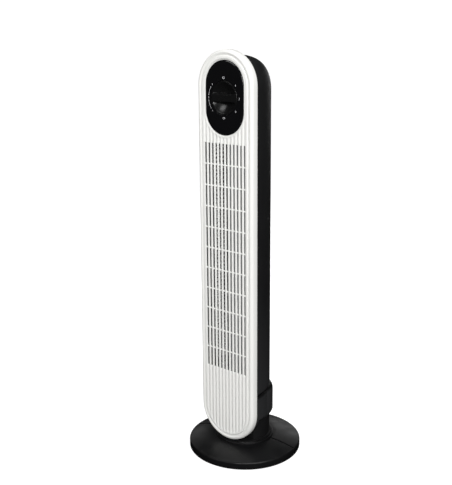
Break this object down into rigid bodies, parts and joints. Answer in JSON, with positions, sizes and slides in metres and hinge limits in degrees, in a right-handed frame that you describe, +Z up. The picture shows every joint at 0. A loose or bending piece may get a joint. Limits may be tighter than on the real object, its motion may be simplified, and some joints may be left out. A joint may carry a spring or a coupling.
{
  "type": "tower fan",
  "caption": "Oscillating tower fan: slim stadium-shaped tower with a slotted white front, dark rear housing, rotary control and a cross-flow impeller, swivelling on a round domed base.",
  "frame": {"origin": "centre of the base on the swivel axis, at the underside of the rubber feet", "axes": "+Z up along the swivel axis, the tower's front faces -Y at rest, +X to the right seen from the front"},
  "size_m": [0.23, 0.23, 0.8079],
  "materials": {
    "panel_white": "satin-gloss moulded white",
    "housing_black": "fine spark-eroded matte black",
    "base_black": "satin black moulding",
    "control_gloss": "high gloss black",
    "knob_black": "satin black",
    "inner_dark": "dark moulded plastic",
    "inner_grey": "mid grey moulded plastic",
    "fin_white": "white moulded plastic",
    "impeller_black": "black moulded plastic",
    "acetal_white": "slippery acetal",
    "electric_cream": "flame-retardant plastic",
    "wire_sleeve": "PVC sleeving",
    "foot_rubber": "soft black rubber",
    "bracket_steel": "zinc-plated sheet",
    "screw_steel": "zinc-plated steel",
    "motor_steel": "varnished laminations",
    "winding_copper": "enamelled copper wire",
    "cast_alloy": "die-cast",
    "bearing_bronze": "sintered bronze"
  },
  "bodies": {
    "base": {"base_front_half": "base_black", "base_rear_half": "base_black", "swivel_ring": "base_black", "glide_ring": "acetal_white", "swing_yoke": "bracket_steel", "base_screws": "screw_steel", "rubber_feet": "foot_rubber"},
    "tower": {"neck": "housing_black", "retainer_ring": "inner_dark", "swing_motor": "bracket_steel", "rear_housing": "housing_black", "lower_rear_cover": "housing_black", "cord_gland": "foot_rubber", "front_panel": "panel_white", "control_panel": "control_gloss", "rotary_switch": "electric_cream", "volute_wall": "inner_dark", "outlet_backing": "inner_grey", "outlet_fins": "fin_white", "motor_bracket": "bracket_steel", "motor_stator": "motor_steel", "motor_windings": "winding_copper", "motor_frame": "cast_alloy", "motor_bearings": "bearing_bronze", "capacitor": "electric_cream", "top_bearing_plate": "inner_dark", "top_bush": "bearing_bronze", "terminal_block": "electric_cream", "wiring_harness": "wire_sleeve", "panel_screws": "screw_steel", "bracket_screws": "screw_steel", "switch_screws": "screw_steel", "neck_screws": "screw_steel"},
    "impeller": {"impeller_wheel": "impeller_black", "impeller_hub": "foot_rubber", "top_pin": "screw_steel", "motor_shaft": "screw_steel", "motor_rotor": "motor_steel"},
    "knob": {"control_knob": "knob_black", "switch_spindle": "screw_steel"},
    "crank": {"swing_crank": "acetal_white", "crank_pin": "screw_steel"}
  },
  "joints": [
    {"name": "swing", "type": "hinge", "parent": "base", "child": "tower", "pos_m": [0, 0, 0.03], "axis": [0, 0, 1], "range_deg": [-24, 46]},
    {"name": "impeller_spin", "type": "hinge", "parent": "tower", "child": "impeller", "pos_m": [0.006, -0.002, 0.4], "axis": [0, 0, 1], "continuous": true},
    {"name": "knob_turn", "type": "hinge", "parent": "tower", "child": "knob", "pos_m": [0, -0.05, 0.7203], "axis": [0, -1, 0], "continuous": true},
    {"name": "crank_turn", "type": "hinge", "parent": "tower", "child": "crank", "pos_m": [0, 0.02, 0.045], "axis": [0, 0, 1], "range_deg": [-160, 85]}
  ],
  "couplings": [
    {"joint": "crank_turn", "follows": "swing", "ratio": -3.4}
  ]
}
